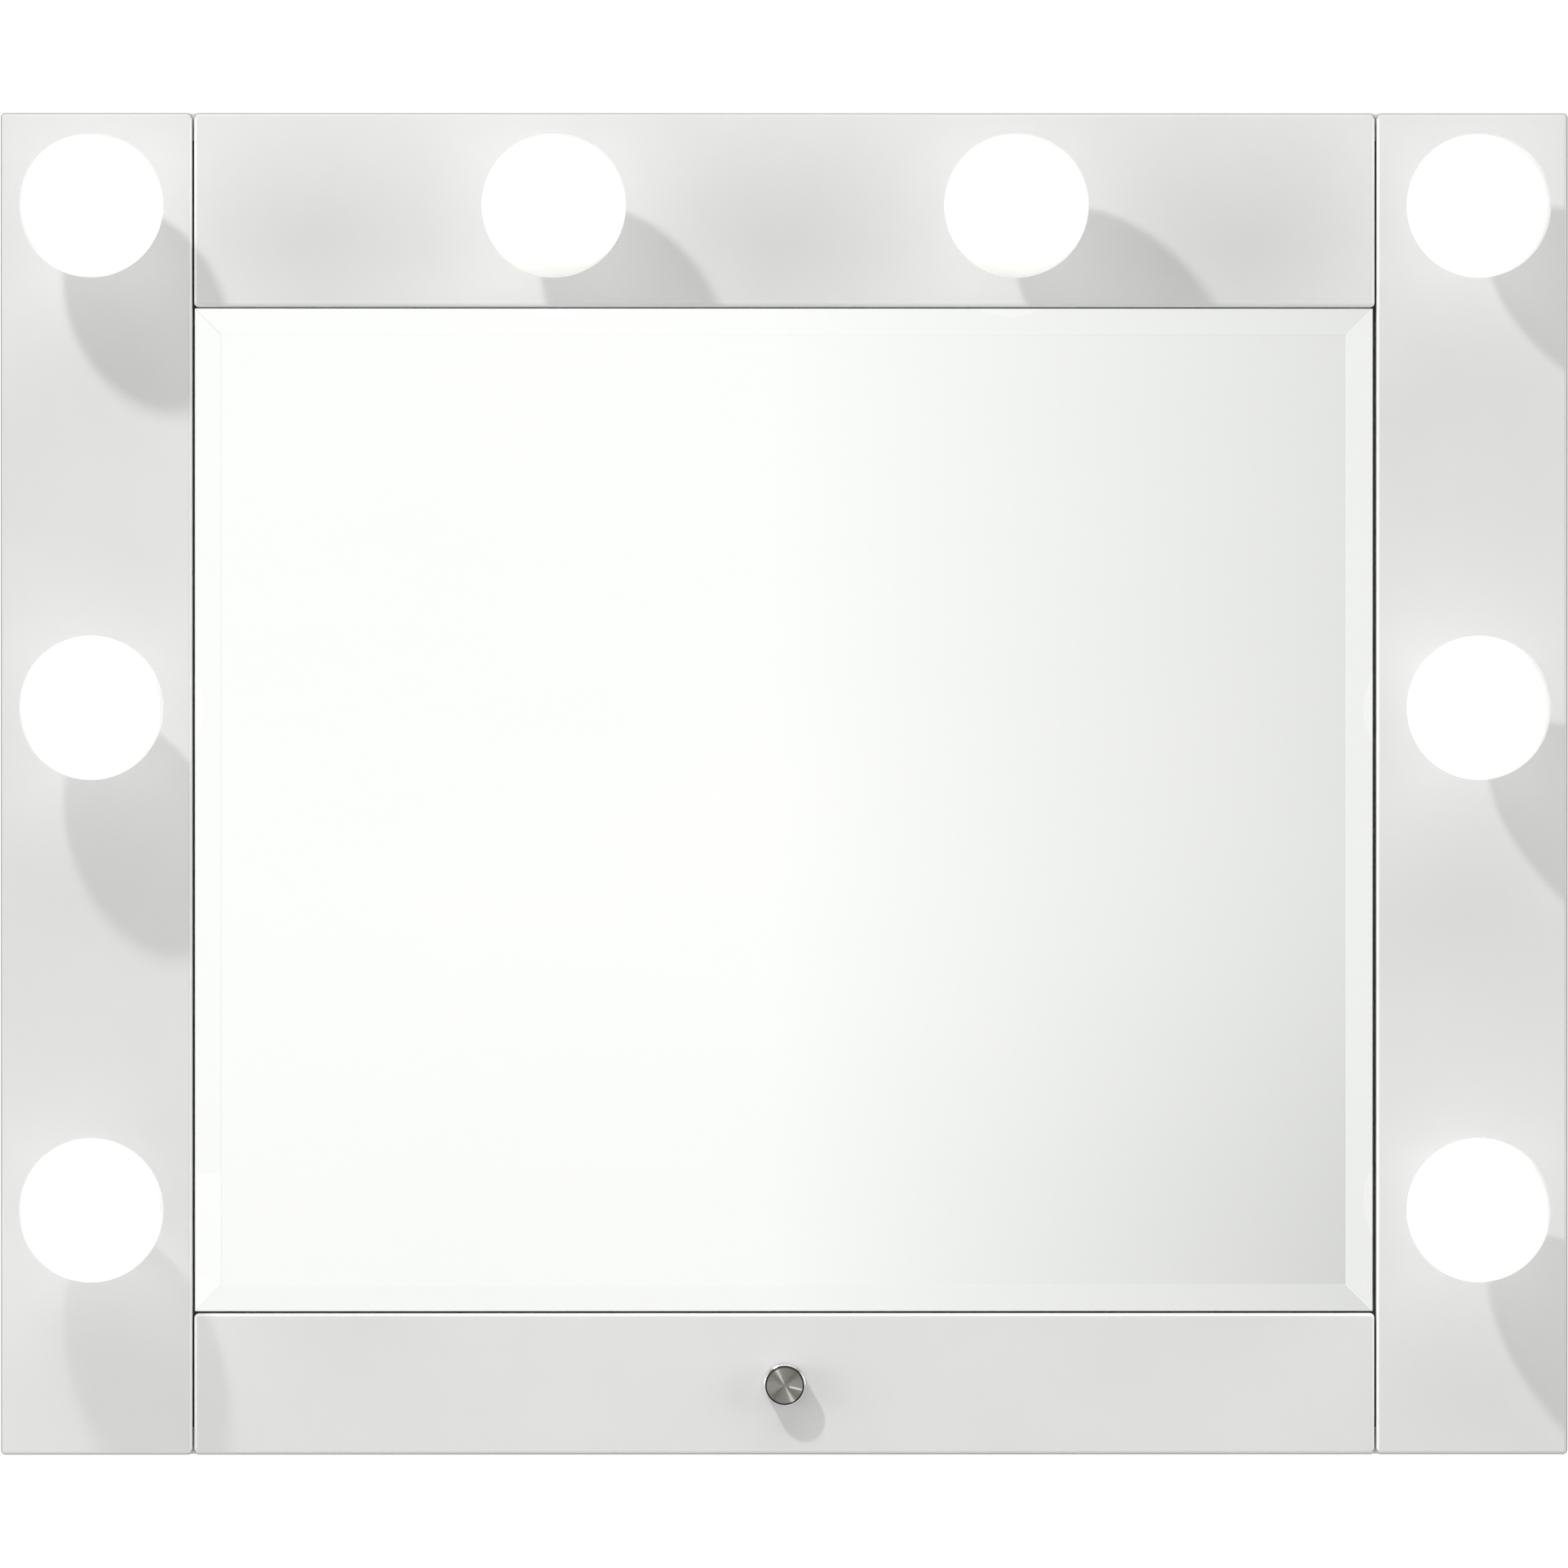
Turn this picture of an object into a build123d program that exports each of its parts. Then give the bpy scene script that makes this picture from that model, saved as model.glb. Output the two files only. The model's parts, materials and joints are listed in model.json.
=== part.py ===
from build123d import *
import os
from math import atan2, cos, degrees, radians, sin

# A wall-hung vanity mirror: a flat white lacquered frame of four front boards round a bevelled
# glass, eight globe lamps on the top rail and the stiles, and a rotary dimmer on the bottom rail.
#
# Millimetres. The origin is the middle of the rear face, which lies against the wall.
# +X is the viewer's right, -Y points out of the wall towards the viewer, +Z is up.

# ---- Driving dimensions -------------------------------------------------------------------
width = 876.0
height = 750.0
depth = 60.0  # wall to the front face of the boards
stile_width = 107.0
top_rail_height = 108.5
bottom_rail_height = 79.0
board_gap = 1.0  # shadow gap between a stile and a rail
board = 9.0  # front board thickness
carrier = 12.0  # full-size board behind the front boards and the glass
side = 15.0  # thickness of the four outer panels
back = 3.0  # rear panel thickness
edge_round = 2.2  # front edges of the boards
corner_round = 2.6  # corners of the boards seen from the front

glass_width = 659.4
glass_height = 561.4
glass = 5.0
glass_shift = (-0.3, 0.25)  # the glass sits a little left of and above the opening's middle
bevel_width = 15.0
bevel_drop = 1.8
silvering = 0.1
tape = 1.0

globe_radius = 40.0
globe_wall = 0.8
globe_stand = 59.0  # globe centre in front of the face
lamp_row_low = 139.0  # lowest lamps above the underside

knob_radius = 11.75
knob_height = 13.0
knob_clearance = 1.0
indicator_angle = 104.0  # clockwise from the top, as the viewer sees it

hanger_spacing = 406.4  # two wall studs, 16 inches apart
inlet_x = 350.0

# ---- Planes and places worked out from them -----------------------------------------------
face_y = -depth
board_rear_y = face_y + board
carrier_rear_y = board_rear_y + carrier
panel_front_y = -back
half_width = width / 2
half_height = height / 2

stile_x = half_width - stile_width / 2
rail_width = width - 2 * stile_width - 2 * board_gap
top_rail_z = half_height - top_rail_height / 2
bottom_rail_z = -half_height + bottom_rail_height / 2
opening_top = half_height - top_rail_height
opening_bottom = -half_height + bottom_rail_height
opening_z = (opening_top + opening_bottom) / 2
glass_centre = (glass_shift[0], opening_z + glass_shift[1])

lamp_low_z = -half_height + lamp_row_low
lamp_mid_z = (lamp_low_z + top_rail_z) / 2
left_lamps = [(-stile_x, top_rail_z), (-stile_x, lamp_mid_z), (-stile_x, lamp_low_z)]
right_lamps = [(stile_x, top_rail_z), (stile_x, lamp_mid_z), (stile_x, lamp_low_z)]
top_lamps = [(-stile_x / 3, top_rail_z), (stile_x / 3, top_rail_z)]
lamps = left_lamps + top_lamps + right_lamps

os.makedirs("parts", exist_ok=True)


# ---- Helpers --------------------------------------------------------------------------------
def layer(y):
    """A plane across the mirror at depth y, facing the viewer, with X right and Z up."""
    return Plane(origin=(0, y, 0), x_dir=(1, 0, 0), z_dir=(0, -1, 0))


def section(x, z):
    """The half-section plane of a round piece standing on the face at (x, z): radius, height."""
    return Plane(origin=(x, face_y, z), x_dir=(1, 0, 0), z_dir=(0, 0, -1))


def stand_axis(x, z):
    """The axis that a round piece at (x, z) is turned about, out of the face."""
    return Axis((x, face_y, z), (0, -1, 0))


def save(builder, name):
    builder.part.label = name
    export_step(builder.part, f"parts/{name}.step")


def turn_profile(place, points, mode=Mode.ADD):
    """Turns a closed outline of (radius, height) points about the axis at place."""
    with BuildSketch(section(*place)) as profile:
        with BuildLine():
            Polyline(*points, close=True)
        make_face()
    revolve(profile.sketch, axis=stand_axis(*place), mode=mode)


def seats(places, facing):
    """One plane for each (x, y, z) place, all facing the same way."""
    return [Plane(origin=place, z_dir=facing) for place in places]


# Wood screws: countersunk head, smooth shank of the thread's outer size, cross recess.
screw_radius = 1.75
screw_head_radius = 3.5
screw_head = 2.0


def screw_shapes(places, inward, length, recess=True, mode=Mode.ADD):
    """Screws with their heads at the places, driven along the inward direction."""
    outward = tuple(-part for part in inward)
    with Locations(*seats(places, inward)):
        Cylinder(
            screw_radius,
            length,
            align=(Align.CENTER, Align.CENTER, Align.MIN),
            mode=mode,
        )
        Cone(
            screw_head_radius,
            screw_radius,
            screw_head,
            align=(Align.CENTER, Align.CENTER, Align.MIN),
            mode=mode,
        )
    if recess:
        with Locations(*seats(places, outward)):
            for long, wide in ((3.2, 0.8), (0.8, 3.2)):
                Box(
                    long,
                    wide,
                    1.2,
                    align=(Align.CENTER, Align.CENTER, Align.MAX),
                    mode=Mode.SUBTRACT,
                )


# ---- Fastener places ------------------------------------------------------------------------
# The front boards are screwed from behind, through the carrier board.
board_screw_length = 16.0
low_screw_drop = 65.0  # below the lowest lamps
rail_screw_x = 250.0
inner_screw_x = 90.0
stile_screw_zs = [
    lamp_low_z - low_screw_drop,
    (lamp_low_z + lamp_mid_z) / 2,
    (lamp_mid_z + top_rail_z) / 2,
]
stile_screws = [
    (sign * stile_x, carrier_rear_y, z) for sign in (-1, 1) for z in stile_screw_zs
]
top_rail_screws = [
    (x, carrier_rear_y, top_rail_z) for x in (-rail_screw_x, 0, rail_screw_x)
]
bottom_rail_screws = [
    (x, carrier_rear_y, bottom_rail_z)
    for x in (-rail_screw_x, -inner_screw_x, inner_screw_x, rail_screw_x)
]
board_screw_places = stile_screws + top_rail_screws + bottom_rail_screws

# Battens stiffen the carrier board behind the glass and take the rear panel's screws.
batten = 25.0  # width of the upright and bottom battens
batten_outer_x = 345.0
top_batten_height = 50.0
top_batten_z = opening_top - 19.5  # behind the glass, clear of the top lamps' leads
bottom_batten_z = opening_bottom + 9.0
batten_side_x = batten_outer_x - batten / 2
batten_top = top_batten_z + top_batten_height / 2
batten_bottom = bottom_batten_z - batten / 2

panel_screw_length = 16.0
panel_screw_zs = [batten_bottom + 20, lamp_low_z + 120, lamp_mid_z + 60, batten_top - 12]
low_panel_screw_x = 160.0
high_panel_screw_x = 90.0
panel_screw_places = [(sign * batten_side_x, 0, z) for sign in (-1, 1) for z in panel_screw_zs]
panel_screw_places += [(sign * low_panel_screw_x, 0, bottom_batten_z) for sign in (-1, 1)]
panel_screw_places += [(sign * high_panel_screw_x, 0, top_batten_z) for sign in (-1, 1)]

hanger_x = hanger_spacing / 2
hanger_z = top_batten_z
hanger_width = 52.0
hanger_height = 22.0
hanger = 2.0  # plate thickness
hanger_corner = 3.0
hanger_face_y = panel_front_y + hanger
keyhole_entry_radius = 4.5
keyhole_slot_radius = 2.3
keyhole_drop = 4.0  # the entry hole's centre below the plate's middle
keyhole_rise = 9.0  # from the entry hole's centre to the slot's upper end
hanger_screw_length = 14.0
hanger_screw_x = 20.0  # from the plate's middle
hanger_screw_places = [
    (sign * hanger_x + offset, hanger_face_y, hanger_z)
    for sign in (-1, 1)
    for offset in (-hanger_screw_x, hanger_screw_x)
]

# ---- Lamp holder and lamp, as heights in front of the face ----------------------------------
holder_radius = 19.0
holder_hole = 19.3
holder_front = 8.0
holder_rear = -30.0
holder_bore = 14.6
holder_floor = -19.0
holder_flange_radius = 23.0
holder_flange = 3.0
holder_foot_chamfer = 3.0
holder_rim_chamfer = 0.8
collar_radius = 26.0
collar_height = 8.0
collar_round = 3.0
collar_play = 0.05

pitch = 3.629  # seven threads to the inch, the E26 cap's thread
cap_crest = 13.15
cap_root = 12.45
cap_rim = 11.0
cap_rim_radius = 13.3
cap_tip = -14.0
thread_turns = 4

shell_radius = 14.5
shell_inside = 13.5
shell_lip = 7.8
shell_foot = -16.0

# ---- Front boards ---------------------------------------------------------------------------


def front_board(builder, centre, size, lamp_places, screw_places):
    """A flat board with rounded front edges, its lamp holes and its blind screw holes."""
    with BuildSketch(layer(board_rear_y)) as outline:
        with Locations(centre):
            RectangleRounded(*size, corner_round)
    extrude(outline.sketch, amount=board)
    fillet(builder.faces().sort_by(Axis.Y)[0].outer_wire().edges(), edge_round)
    if lamp_places:
        with BuildSketch(layer(board_rear_y)) as holes:
            with Locations(*lamp_places):
                Circle(holder_hole)
        extrude(holes.sketch, amount=board, mode=Mode.SUBTRACT)
    screw_shapes(screw_places, (0, -1, 0), board_screw_length, False, Mode.SUBTRACT)


with BuildPart() as left_stile:
    front_board(left_stile, (-stile_x, 0), (stile_width, height), left_lamps, stile_screws[:3])
save(left_stile, "left_stile")

with BuildPart() as right_stile:
    front_board(right_stile, (stile_x, 0), (stile_width, height), right_lamps, stile_screws[3:])
save(right_stile, "right_stile")

with BuildPart() as top_rail:
    rail_size = (rail_width, top_rail_height)
    front_board(top_rail, (0, top_rail_z), rail_size, top_lamps, top_rail_screws)
save(top_rail, "top_rail")

bushing_radius = 3.5
bushing_play = 0.15
with BuildPart() as bottom_rail:
    rail_size = (rail_width, bottom_rail_height)
    front_board(bottom_rail, (0, bottom_rail_z), rail_size, [], bottom_rail_screws)
    with BuildSketch(layer(board_rear_y)):
        with Locations((0, bottom_rail_z)):
            Circle(bushing_radius + bushing_play)
    extrude(amount=board, mode=Mode.SUBTRACT)
save(bottom_rail, "bottom_rail")

# ---- Carrier board --------------------------------------------------------------------------
dimmer_pocket = 34.0
pocket_round = 3.0
with BuildPart() as carrier_board:
    with BuildSketch(layer(carrier_rear_y)):
        Rectangle(width - 2 * side, height - 2 * side)
        with Locations(*lamps):
            Circle(holder_hole, mode=Mode.SUBTRACT)
        with Locations((0, bottom_rail_z)):
            RectangleRounded(dimmer_pocket, dimmer_pocket, pocket_round, mode=Mode.SUBTRACT)
    extrude(amount=carrier)
    screw_shapes(
        board_screw_places, (0, -1, 0), board_screw_length, False, Mode.SUBTRACT
    )
save(carrier_board, "carrier_board")

# ---- Outer panels ---------------------------------------------------------------------------
side_depth = -board_rear_y
side_x = half_width - side / 2
joint_break = 0.6  # small chamfer that draws the line between panel and front board

for name, sign in (("left_side", -1), ("right_side", 1)):
    with BuildPart() as side_panel:
        with BuildSketch(layer(0)):
            with Locations((sign * side_x, 0)):
                Rectangle(side, height)
        extrude(amount=side_depth)
        outer_face = side_panel.faces().sort_by(Axis.X)[0 if sign < 0 else -1]
        fillet(outer_face.edges().filter_by(Axis.Y), corner_round)
        flank = side_panel.faces().filter_by(Axis.X).sort_by(Axis.X)[0 if sign < 0 else -1]
        chamfer(flank.edges().filter_by(Axis.Z), joint_break)
    save(side_panel, name)

inlet_y = -26.0
inlet_flange = (50.0, 23.0, 3.0)
inlet_body = (27.0, 19.6)
inlet_depth = 24.0
inlet_play = 0.4  # of the cut-out round the inlet
inlet_screw_pitch = 40.0
underside = -half_height
inlet_screw_places = [
    (inlet_x + sign * inlet_screw_pitch / 2, inlet_y, underside) for sign in (-1, 1)
]
inlet_screw_length = 13.0

for name, sign in (("top_side", 1), ("bottom_side", -1)):
    with BuildPart() as end_panel:
        with BuildSketch(layer(0)):
            with Locations((0, sign * (half_height - side / 2))):
                Rectangle(width - 2 * side, side)
        extrude(amount=side_depth)
        flank = end_panel.faces().sort_by(Axis.Z)[0 if sign < 0 else -1]
        chamfer(flank.edges().filter_by(Axis.X), joint_break)
        if name == "bottom_side":
            with BuildSketch(Plane(origin=(inlet_x, inlet_y, underside))):
                Rectangle(inlet_flange[0] + inlet_play, inlet_flange[1] + inlet_play)
            extrude(amount=inlet_flange[2], mode=Mode.SUBTRACT)
            with BuildSketch(Plane(origin=(inlet_x, inlet_y, underside))):
                Rectangle(inlet_body[0] + inlet_play, inlet_body[1] + inlet_play)
            extrude(amount=side, mode=Mode.SUBTRACT)
            screw_shapes(
                inlet_screw_places, (0, 0, 1), inlet_screw_length, False, Mode.SUBTRACT
            )
    save(end_panel, name)

# ---- Battens --------------------------------------------------------------------------------
batten_depth = panel_front_y - carrier_rear_y
batten_height = batten_top - batten_bottom


def batten_strip(centre, size):
    """A batten between the carrier board and the rear panel, with its screw holes."""
    with BuildSketch(layer(panel_front_y)) as outline:
        with Locations(centre):
            Rectangle(*size)
    extrude(outline.sketch, amount=batten_depth)
    screw_shapes(panel_screw_places, (0, -1, 0), panel_screw_length, False, Mode.SUBTRACT)


batten_mid_z = (batten_top + batten_bottom) / 2
for name, sign in (("left_batten", -1), ("right_batten", 1)):
    with BuildPart() as upright:
        batten_strip((sign * batten_side_x, batten_mid_z), (batten, batten_height))
    save(upright, name)

cross_width = 2 * (batten_outer_x - batten)
with BuildPart() as bottom_batten:
    batten_strip((0, bottom_batten_z), (cross_width, batten))
save(bottom_batten, "bottom_batten")

# Behind each keyhole the top batten has a pocket for the head of the wall screw.
pocket_width = 14.0
pocket_height = 20.0
pocket_depth = 14.0
with BuildPart() as top_batten:
    batten_strip((0, top_batten_z), (cross_width, top_batten_height))
    with BuildSketch(layer(panel_front_y)):
        with Locations((-hanger_x, hanger_z), (hanger_x, hanger_z)):
            RectangleRounded(pocket_width, pocket_height, pocket_round)
    extrude(amount=pocket_depth, mode=Mode.SUBTRACT)
    screw_shapes(
        hanger_screw_places, (0, -1, 0), hanger_screw_length, False, Mode.SUBTRACT
    )
save(top_batten, "top_batten")

# ---- Rear panel and hangers -----------------------------------------------------------------
panel_play = 0.5  # all round the rear panel
hanger_play = 1.0  # the panel's cut-outs are this much larger than the plates
vent_count = 14
vent_pitch = 12.0
vent_length = 36.0
vent_width = 4.0
vent_x = 200.0
with BuildPart() as back_panel:
    with BuildSketch(layer(0)):
        Rectangle(width - 2 * side - 2 * panel_play, height - 2 * side - 2 * panel_play)
        with Locations((-hanger_x, hanger_z), (hanger_x, hanger_z)):
            RectangleRounded(
                hanger_width + hanger_play,
                hanger_height + hanger_play,
                hanger_corner,
                mode=Mode.SUBTRACT,
            )
        for x in (-vent_x, vent_x):
            for z in (top_rail_z, bottom_rail_z):
                with Locations((x, z)):
                    with GridLocations(vent_pitch, 1, vent_count, 1):
                        SlotOverall(vent_length, vent_width, rotation=90, mode=Mode.SUBTRACT)
    extrude(amount=back)
    screw_shapes(panel_screw_places, (0, -1, 0), panel_screw_length, False, Mode.SUBTRACT)
save(back_panel, "back_panel")

with BuildPart() as hanger_plates:
    with BuildSketch(layer(hanger_face_y)):
        with Locations((-hanger_x, hanger_z), (hanger_x, hanger_z)):
            RectangleRounded(hanger_width, hanger_height, hanger_corner)
        with Locations(
            (-hanger_x, hanger_z - keyhole_drop), (hanger_x, hanger_z - keyhole_drop)
        ):
            Circle(keyhole_entry_radius, mode=Mode.SUBTRACT)
            SlotCenterPoint(
                (0, keyhole_rise / 2),
                (0, keyhole_rise),
                2 * keyhole_slot_radius,
                mode=Mode.SUBTRACT,
            )
    extrude(amount=hanger)
    screw_shapes(
        hanger_screw_places, (0, -1, 0), hanger_screw_length, False, Mode.SUBTRACT
    )
save(hanger_plates, "hanger_plates")

# ---- Screws ---------------------------------------------------------------------------------
with BuildPart() as board_screws:
    screw_shapes(board_screw_places, (0, -1, 0), board_screw_length)
save(board_screws, "board_screws")

with BuildPart() as panel_screws:
    screw_shapes(panel_screw_places, (0, -1, 0), panel_screw_length)
save(panel_screws, "panel_screws")

with BuildPart() as hanger_screws:
    screw_shapes(hanger_screw_places, (0, -1, 0), hanger_screw_length)
save(hanger_screws, "hanger_screws")

# ---- Mirror ---------------------------------------------------------------------------------
tape_front_y = board_rear_y - tape
glass_rear_y = tape_front_y - silvering
glass_face_y = glass_rear_y - glass

with BuildPart() as mirror_glass:
    with BuildSketch(layer(glass_rear_y)):
        with Locations(glass_centre):
            Rectangle(glass_width, glass_height)
    extrude(amount=glass - bevel_drop)
    with BuildSketch(layer(glass_face_y + bevel_drop)):
        with Locations(glass_centre):
            Rectangle(glass_width, glass_height)
    with BuildSketch(layer(glass_face_y)):
        with Locations(glass_centre):
            Rectangle(glass_width - 2 * bevel_width, glass_height - 2 * bevel_width)
    loft()
save(mirror_glass, "mirror_glass")

with BuildPart() as mirror_silvering:
    with BuildSketch(layer(tape_front_y)):
        with Locations(glass_centre):
            Rectangle(glass_width, glass_height)
    extrude(amount=silvering)
save(mirror_silvering, "mirror_silvering")

tape_width = 25.0
tape_count = 6
tape_inset = 40.0  # from the glass's sides to the outer strips' middles
tape_length = glass_height - tape_inset
tape_pitch = (glass_width - 2 * tape_inset) / (tape_count - 1)
with BuildPart() as mirror_tape:
    with BuildSketch(layer(board_rear_y)):
        with Locations(glass_centre):
            with GridLocations(tape_pitch, 1, tape_count, 1):
                Rectangle(tape_width, tape_length)
    extrude(amount=tape)
save(mirror_tape, "mirror_tape")

# ---- Lamp holders ---------------------------------------------------------------------------
carrier_rear = face_y - carrier_rear_y  # as a height in front of the face, so it is negative
with BuildPart() as lamp_holders:
    for place in lamps:
        turn_profile(
            place,
            [
                (0, holder_rear),
                (holder_radius - holder_foot_chamfer, holder_rear),
                (holder_radius, holder_rear + holder_foot_chamfer),
                (holder_radius, carrier_rear - holder_flange),
                (holder_flange_radius, carrier_rear - holder_flange),
                (holder_flange_radius, carrier_rear),
                (holder_radius, carrier_rear),
                (holder_radius, holder_front - holder_rim_chamfer),
                (holder_radius - holder_rim_chamfer, holder_front),
                (holder_bore, holder_front),
                (holder_bore, holder_floor),
                (0, holder_floor),
            ],
        )
save(lamp_holders, "lamp_holders")

with BuildPart() as holder_collars:
    for place in lamps:
        with BuildSketch(section(*place)):
            with BuildLine():
                inside = holder_radius + collar_play
                crown = collar_height - collar_round
                foot = Line((inside, 0), (collar_radius, 0))
                wall = Line(foot @ 1, (collar_radius, crown))
                shoulder = RadiusArc(
                    wall @ 1, (collar_radius - collar_round, collar_height), -collar_round
                )
                lip = Line(shoulder @ 1, (inside, collar_height))
                Line(lip @ 1, foot @ 0)
            make_face()
        revolve(axis=stand_axis(*place))
save(holder_collars, "holder_collars")


# A rolled thread is a row of rounded ridges; each is drawn as a flat-topped rib.
def ridge_points(root, crest, bottom):
    """The outline of the ribs from the bottom up, one for each turn of the thread."""
    points = []
    for turn in range(thread_turns):
        start = bottom + turn * pitch
        points += [
            (root, start),
            (crest, start + 0.3 * pitch),
            (crest, start + 0.5 * pitch),
            (root, start + 0.8 * pitch),
        ]
    return points


thread_bottom = -6.4
groove_depth = 0.6
with BuildPart() as holder_shells:
    for place in lamps:
        grooves = ridge_points(shell_inside, shell_inside + groove_depth, thread_bottom)
        turn_profile(
            place,
            [(shell_inside, shell_foot)]
            + grooves
            + [(shell_inside, shell_lip), (shell_radius, shell_lip), (shell_radius, shell_foot)],
        )
save(holder_shells, "holder_shells")

contact_foot = 2.5
contact_radius = 5.0
contact_top = cap_tip - 0.3
with BuildPart() as holder_contacts:
    for place in lamps:
        turn_profile(
            place,
            [
                (0, holder_floor),
                (contact_foot, holder_floor),
                (contact_foot, contact_top - 2.7),
                (contact_radius, contact_top - 1.9),
                (contact_radius, contact_top - 1.3),
                (contact_radius - 2, contact_top),
                (0, contact_top),
            ],
        )
save(holder_contacts, "holder_contacts")

# ---- Lamps ----------------------------------------------------------------------------------
neck_radius = 12.8
neck_end = 8.2
neck_join_radius = 18.0


def globe_outline(radius, neck, join):
    """Half of a globe with its neck: sphere, hollow shoulder and straight neck."""
    join_height = globe_stand - (radius**2 - join**2) ** 0.5
    top = (0, globe_stand + radius)
    equator = (radius, globe_stand)
    sphere = ThreePointArc(top, equator, (join, join_height))
    tangent = sphere % 1
    shoulder = Spline(
        sphere @ 1,
        (neck, cap_rim + 1.5),
        tangents=(tangent, (0, -1)),
    )
    straight = Line(shoulder @ 1, (neck, neck_end))
    return top, straight @ 1


# The cap is a thin brass shell: its thread, its foot round the glass bead, and its wide rim.
cap_inside = 11.8
cap_foot = -9.5
cap_foot_radius = 10.6
cap_foot_inside = 10.1
thread_start = -7.6
rim_height = 2.2
neck_play = 0.1
eyelet_radius = 4.8
eyelet_top = -12.8
bead_radius = 10.0
bead_top = -8.6

for number, place in enumerate(lamps, 1):
    with BuildPart() as globe:
        with BuildSketch(section(*place)):
            with BuildLine():
                outer_top, outer_end = globe_outline(globe_radius, neck_radius, neck_join_radius)
                inner_top, inner_end = globe_outline(
                    globe_radius - globe_wall,
                    neck_radius - globe_wall,
                    neck_join_radius - globe_wall,
                )
                Line(outer_top, inner_top)
                Line(outer_end, inner_end)
            make_face()
        revolve(axis=stand_axis(*place))
    save(globe, f"lamp_{number}_globe")

    with BuildPart() as cap:
        thread = ridge_points(cap_root, cap_crest, thread_bottom)
        turn_profile(
            place,
            [(cap_foot_inside, cap_foot), (cap_foot_radius, cap_foot), (cap_root, thread_start)]
            + thread
            + [
                (cap_root, cap_rim - rim_height - 0.4),
                (cap_rim_radius, cap_rim - rim_height),
                (cap_rim_radius, cap_rim),
                (neck_radius + neck_play, cap_rim),
                (neck_radius + neck_play, neck_end),
                (cap_inside, neck_end),
                (cap_inside, thread_start - 0.4),
                (cap_foot_inside, cap_foot + 0.6),
            ],
        )
        turn_profile(
            place,
            [
                (0, eyelet_top),
                (eyelet_radius, eyelet_top),
                (eyelet_radius, eyelet_top - 0.6),
                (eyelet_radius - 1.2, cap_tip),
                (0, cap_tip),
            ],
        )
    save(cap, f"lamp_{number}_cap")

    with BuildPart() as insulator:
        turn_profile(
            place,
            [
                (0, bead_top),
                (bead_radius, bead_top),
                (bead_radius, bead_top - 1),
                (eyelet_radius + 0.6, eyelet_top),
                (0, eyelet_top),
            ],
        )
    save(insulator, f"lamp_{number}_insulator")

# ---- Dimmer ---------------------------------------------------------------------------------
dimmer_place = (0, bottom_rail_z)
module_size = 28.0
module_depth = 14.0
module_corner = 1.5
bushing_front = 3.0  # above the face
shaft_radius = 3.0
shaft_flat = 1.5  # the flat's distance from the shaft's middle
shaft_front = 12.0
shaft_play = 0.05
shaft_socket = 6.0  # how far the shaft goes into the module
shaft_end_play = 0.2
nut_cavity_radius = 8.5
nut_cavity = 4.2
# The viewer's clock angle, as a direction on the face: X right, Z up.
clock = radians(indicator_angle)
pointer = (sin(clock), cos(clock))
pointer_degrees = degrees(atan2(pointer[1], pointer[0]))

with BuildPart() as dimmer_module:
    with BuildSketch(layer(board_rear_y + module_depth)):
        with Locations(dimmer_place):
            RectangleRounded(module_size, module_size, module_corner)
    extrude(amount=module_depth)
    with BuildSketch(layer(board_rear_y)):
        with Locations(dimmer_place):
            Circle(bushing_radius)
    extrude(amount=board + bushing_front)
    with BuildSketch(layer(board_rear_y + shaft_socket)):
        with Locations(dimmer_place):
            Circle(shaft_radius + shaft_play)
    extrude(amount=shaft_socket + board + bushing_front, mode=Mode.SUBTRACT)
save(dimmer_module, "dimmer_module")

washer = 0.8
washer_radius = 6.5
washer_play = 0.1
nut = 1.9
nut_across = 10.0  # across the flats
with BuildPart() as dimmer_washer:
    with BuildSketch(layer(face_y)):
        with Locations(dimmer_place):
            Circle(washer_radius)
            Circle(bushing_radius + washer_play, mode=Mode.SUBTRACT)
    extrude(amount=washer)
save(dimmer_washer, "dimmer_washer")

with BuildPart() as dimmer_nut:
    with BuildSketch(layer(face_y - washer)):
        with Locations(dimmer_place):
            RegularPolygon(nut_across / 2, 6, major_radius=False)
            Circle(bushing_radius, mode=Mode.SUBTRACT)
    extrude(amount=nut)
save(dimmer_nut, "dimmer_nut")


def shaft_section(radius, flat):
    """A round with one flat, turned so that the flat faces away from the pointer."""
    with Locations(Location((0, bottom_rail_z), pointer_degrees)):
        Circle(radius)
        with Locations((-flat - radius, 0)):
            Rectangle(2 * radius, 4 * radius, mode=Mode.SUBTRACT)


flat_start = 4.5
with BuildPart() as dimmer_shaft:
    with BuildSketch(layer(board_rear_y + shaft_socket - shaft_end_play)):
        with Locations(dimmer_place):
            Circle(shaft_radius)
    extrude(amount=shaft_socket - shaft_end_play + board + flat_start)
    with BuildSketch(layer(face_y - flat_start)):
        shaft_section(shaft_radius, shaft_flat)
    extrude(amount=shaft_front - flat_start)
save(dimmer_shaft, "dimmer_shaft")

knob_back_y = face_y - knob_clearance
knob_front_y = knob_back_y - knob_height
knob_chamfer = 1.1
knurl_count = 60
knurl_depth = 0.3
knurl_gap = 0.8  # between the knurl and the chamfer
back_break = 0.4
dish = 0.3  # the face is turned this much below its bright rim
rim_width = 0.5
pointer_width = 1.1
pointer_depth = 0.7
pointer_inner = 0.26 * knob_radius
grub_radius = 1.5
grub_length = 6.0
grub_height = 6.5  # above the knob's back face
grub_seat = Plane(
    origin=(0, knob_back_y - grub_height, bottom_rail_z),
    z_dir=(-pointer[0], 0, -pointer[1]),
)

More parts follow.
